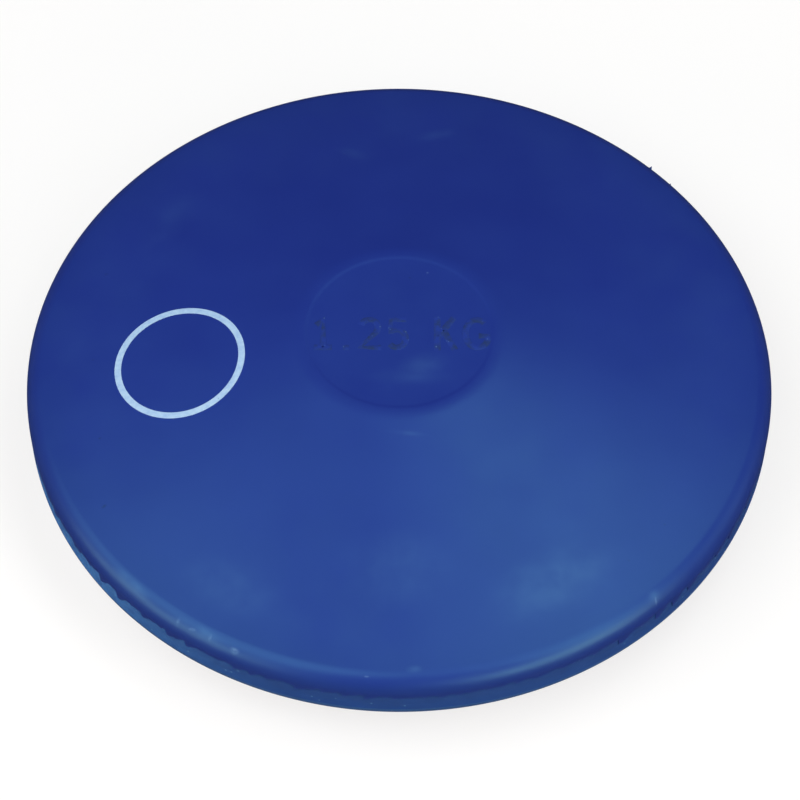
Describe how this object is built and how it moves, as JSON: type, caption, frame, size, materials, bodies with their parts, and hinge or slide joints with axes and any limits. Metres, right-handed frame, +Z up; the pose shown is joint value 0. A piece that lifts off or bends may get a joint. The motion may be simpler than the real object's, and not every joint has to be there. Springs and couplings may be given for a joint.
{
  "type": "discus",
  "caption": "Rubber practice discus: tapered rubber faces and a rubber rim band closed over a riveted pack of punched steel plates.",
  "frame": {"origin": "middle of the lower boss, where the discus rests on the ground", "axes": "+Z up, along the discus's own axis from the lower boss to the upper boss; +X to the right as the weight mark is read"},
  "size_m": [0.18, 0.18, 0.039],
  "materials": {
    "skin_rubber": "deep blue moulded rubber, semi-gloss",
    "trimmed_rubber": "duller teal-blue rubber, matt where the moulding was trimmed",
    "rolled_steel": "punched hot-rolled steel sheet with grey scale",
    "rivet_steel": "bright cold-headed steel, lightly oiled"
  },
  "bodies": {
    "root": {"upper_face": "skin_rubber", "lower_face": "skin_rubber", "rim_band": "trimmed_rubber", "core_plate_1": "rolled_steel", "core_plate_2": "rolled_steel", "core_plate_3": "rolled_steel", "core_rivet_1": "rivet_steel", "core_rivet_2": "rivet_steel", "core_rivet_3": "rivet_steel"}
  },
  "joints": []
}
